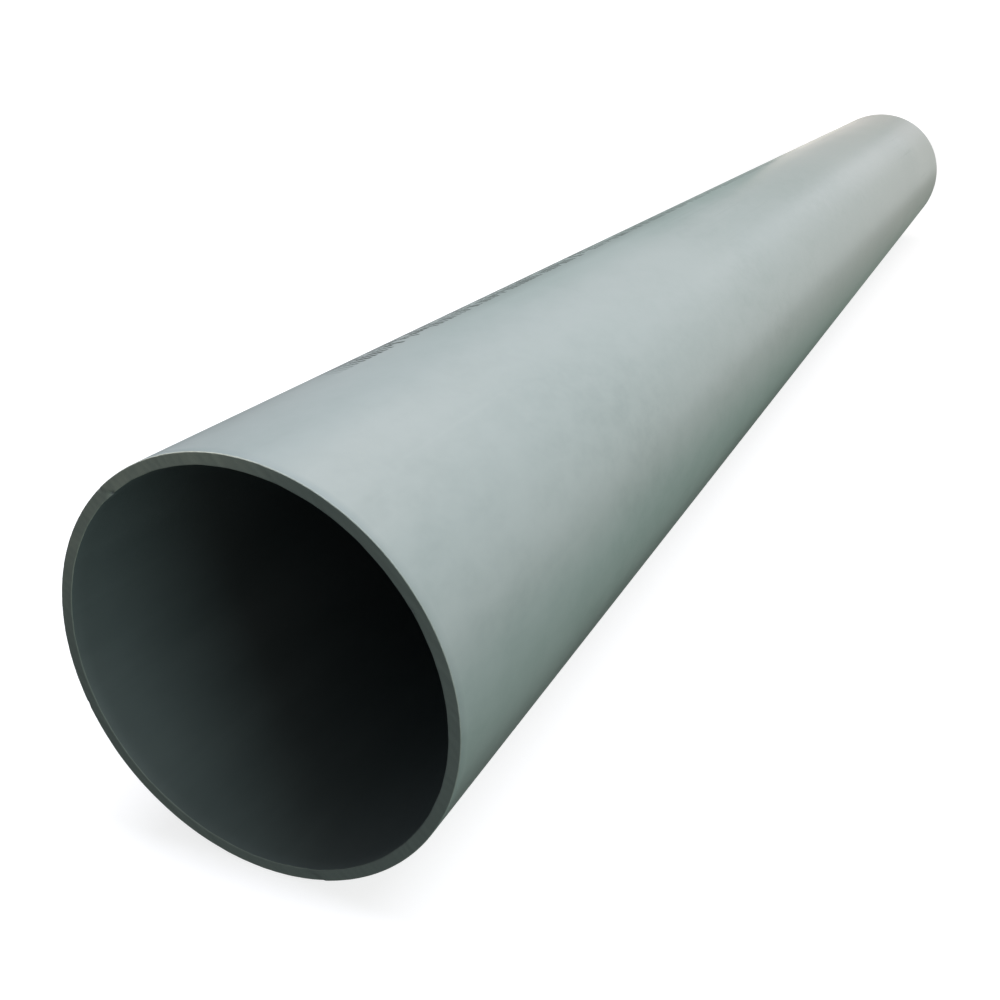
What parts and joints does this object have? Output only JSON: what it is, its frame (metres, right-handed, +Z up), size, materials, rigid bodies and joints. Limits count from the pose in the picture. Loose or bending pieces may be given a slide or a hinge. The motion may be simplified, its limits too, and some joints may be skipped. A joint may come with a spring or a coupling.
{
  "type": "pvc drain pipe",
  "caption": "Straight plain-ended PVC drain pipe: a thin-walled round tube, sawn square at both ends, that carries soil, waste or rain water.",
  "frame": {"origin": "on the floor under the middle of the pipe, at the centre of the base of its bounding box", "axes": "+X along the pipe's axis, from the near sawn end to the far one; +Y across; +Z up"},
  "size_m": [1, 0.11, 0.11],
  "materials": {
    "pvc": "satin grey-green unplasticised PVC, lightly scuffed"
  },
  "bodies": {
    "root": {"pipe": "pvc"}
  },
  "joints": []
}
